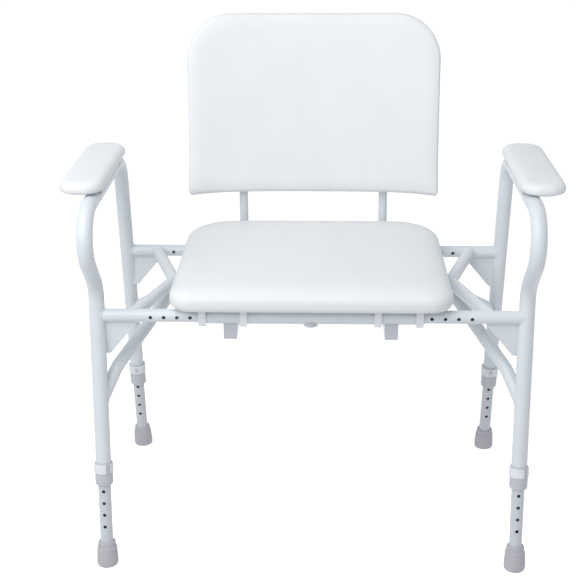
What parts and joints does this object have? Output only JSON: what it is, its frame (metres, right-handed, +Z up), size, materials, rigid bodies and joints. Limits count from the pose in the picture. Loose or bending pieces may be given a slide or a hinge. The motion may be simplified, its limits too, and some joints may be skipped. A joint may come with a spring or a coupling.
{
  "type": "shower chair",
  "caption": "Free-standing shower and transfer chair with padded seat, backrest and armrests, telescopic legs and telescopic side frames.",
  "frame": {"origin": "on the floor under the middle of the chair", "axes": "+Z up, the chair faces -Y, +X to the right as seen from the front"},
  "size_m": [0.926, 0.5879, 1.0021],
  "materials": {
    "frame_paint": "white powder coat, satin",
    "leg_paint": "white powder coat, satin",
    "pad_vinyl": "white vinyl upholstery over foam",
    "backing_board": "moulded board",
    "moulded_plastic": "moulded plastic, satin",
    "foot_rubber": "light grey rubber",
    "pin_steel": "satin",
    "fastener_steel": "satin"
  },
  "bodies": {
    "centre_frame": {"front_centre_rail": "frame_paint", "rear_centre_rail": "frame_paint", "left_seat_beam": "frame_paint", "right_seat_beam": "frame_paint", "beam_end_caps": "moulded_plastic", "backrest_sockets": "frame_paint", "rail_drain_plug": "moulded_plastic"},
    "left_side_frame": {"left_side_tube": "frame_paint", "left_front_rail_stub": "frame_paint", "left_rear_rail_stub": "frame_paint", "left_v_braces": "frame_paint", "left_knee_braces": "frame_paint", "left_gussets": "frame_paint", "left_front_collar": "moulded_plastic", "left_rear_collar": "moulded_plastic", "left_collar_bands": "moulded_plastic", "left_arm_pad": "pad_vinyl", "left_arm_board": "backing_board", "left_arm_saddles": "moulded_plastic", "left_arm_screws": "fastener_steel"},
    "left_front_leg": {"left_front_leg_tube": "leg_paint", "left_front_foot": "foot_rubber"},
    "left_front_leg_pin": {"left_front_leg_pin": "pin_steel"},
    "left_front_width_pin": {"left_front_width_pin": "pin_steel"},
    "left_rear_leg": {"left_rear_leg_tube": "leg_paint", "left_rear_foot": "foot_rubber"},
    "left_rear_leg_pin": {"left_rear_leg_pin": "pin_steel"},
    "left_rear_width_pin": {"left_rear_width_pin": "pin_steel"},
    "right_side_frame": {"right_side_tube": "frame_paint", "right_front_rail_stub": "frame_paint", "right_rear_rail_stub": "frame_paint", "right_v_braces": "frame_paint", "right_knee_braces": "frame_paint", "right_gussets": "frame_paint", "right_front_collar": "moulded_plastic", "right_rear_collar": "moulded_plastic", "right_collar_bands": "moulded_plastic", "right_arm_pad": "pad_vinyl", "right_arm_board": "backing_board", "right_arm_saddles": "moulded_plastic", "right_arm_screws": "fastener_steel"},
    "right_front_leg": {"right_front_leg_tube": "leg_paint", "right_front_foot": "foot_rubber"},
    "right_front_leg_pin": {"right_front_leg_pin": "pin_steel"},
    "right_front_width_pin": {"right_front_width_pin": "pin_steel"},
    "right_rear_leg": {"right_rear_leg_tube": "leg_paint", "right_rear_foot": "foot_rubber"},
    "right_rear_leg_pin": {"right_rear_leg_pin": "pin_steel"},
    "right_rear_width_pin": {"right_rear_width_pin": "pin_steel"},
    "seat": {"seat_pad": "pad_vinyl", "seat_board": "backing_board", "seat_clips": "moulded_plastic", "seat_clip_screws": "fastener_steel"},
    "backrest": {"backrest_pad": "pad_vinyl", "backrest_board": "backing_board", "left_backrest_post": "frame_paint", "right_backrest_post": "frame_paint", "backrest_post_caps": "moulded_plastic", "backrest_screws": "fastener_steel"}
  },
  "joints": [
    {"name": "left_width_slide", "type": "slide", "parent": "centre_frame", "child": "left_side_frame", "axis": [1, 0, 0], "range_m": [0, 0.1]},
    {"name": "left_front_leg_slide", "type": "slide", "parent": "left_side_frame", "child": "left_front_leg", "axis": [0, 0.1288, 0.9917], "range_m": [0, 0.1]},
    {"name": "left_front_leg_pin_pull", "type": "slide", "parent": "left_side_frame", "child": "left_front_leg_pin", "axis": [0, 0.9917, -0.1288], "range_m": [0, 0.008], "stiffness_N_per_m": 300},
    {"name": "left_front_width_pin_pull", "type": "slide", "parent": "centre_frame", "child": "left_front_width_pin", "axis": [0, 1, 0], "range_m": [0, 0.008], "stiffness_N_per_m": 300},
    {"name": "left_rear_leg_slide", "type": "slide", "parent": "left_side_frame", "child": "left_rear_leg", "axis": [0, -0.1288, 0.9917], "range_m": [0, 0.1]},
    {"name": "left_rear_leg_pin_pull", "type": "slide", "parent": "left_side_frame", "child": "left_rear_leg_pin", "axis": [0, -0.9917, -0.1288], "range_m": [0, 0.008], "stiffness_N_per_m": 300},
    {"name": "left_rear_width_pin_pull", "type": "slide", "parent": "centre_frame", "child": "left_rear_width_pin", "axis": [0, 1, 0], "range_m": [0, 0.008], "stiffness_N_per_m": 300},
    {"name": "right_width_slide", "type": "slide", "parent": "centre_frame", "child": "right_side_frame", "axis": [-1, 0, 0], "range_m": [0, 0.1]},
    {"name": "right_front_leg_slide", "type": "slide", "parent": "right_side_frame", "child": "right_front_leg", "axis": [0, 0.1288, 0.9917], "range_m": [0, 0.1]},
    {"name": "right_front_leg_pin_pull", "type": "slide", "parent": "right_side_frame", "child": "right_front_leg_pin", "axis": [0, 0.9917, -0.1288], "range_m": [0, 0.008], "stiffness_N_per_m": 300},
    {"name": "right_front_width_pin_pull", "type": "slide", "parent": "centre_frame", "child": "right_front_width_pin", "axis": [0, 1, 0], "range_m": [0, 0.008], "stiffness_N_per_m": 300},
    {"name": "right_rear_leg_slide", "type": "slide", "parent": "right_side_frame", "child": "right_rear_leg", "axis": [0, -0.1288, 0.9917], "range_m": [0, 0.1]},
    {"name": "right_rear_leg_pin_pull", "type": "slide", "parent": "right_side_frame", "child": "right_rear_leg_pin", "axis": [0, -0.9917, -0.1288], "range_m": [0, 0.008], "stiffness_N_per_m": 300},
    {"name": "right_rear_width_pin_pull", "type": "slide", "parent": "centre_frame", "child": "right_rear_width_pin", "axis": [0, 1, 0], "range_m": [0, 0.008], "stiffness_N_per_m": 300},
    {"name": "seat_lift", "type": "slide", "parent": "centre_frame", "child": "seat", "axis": [0, 0, 1], "range_m": [0, 0.045]},
    {"name": "backrest_lift", "type": "slide", "parent": "centre_frame", "child": "backrest", "axis": [0, 0, 1], "range_m": [0, 0.1]}
  ]
}
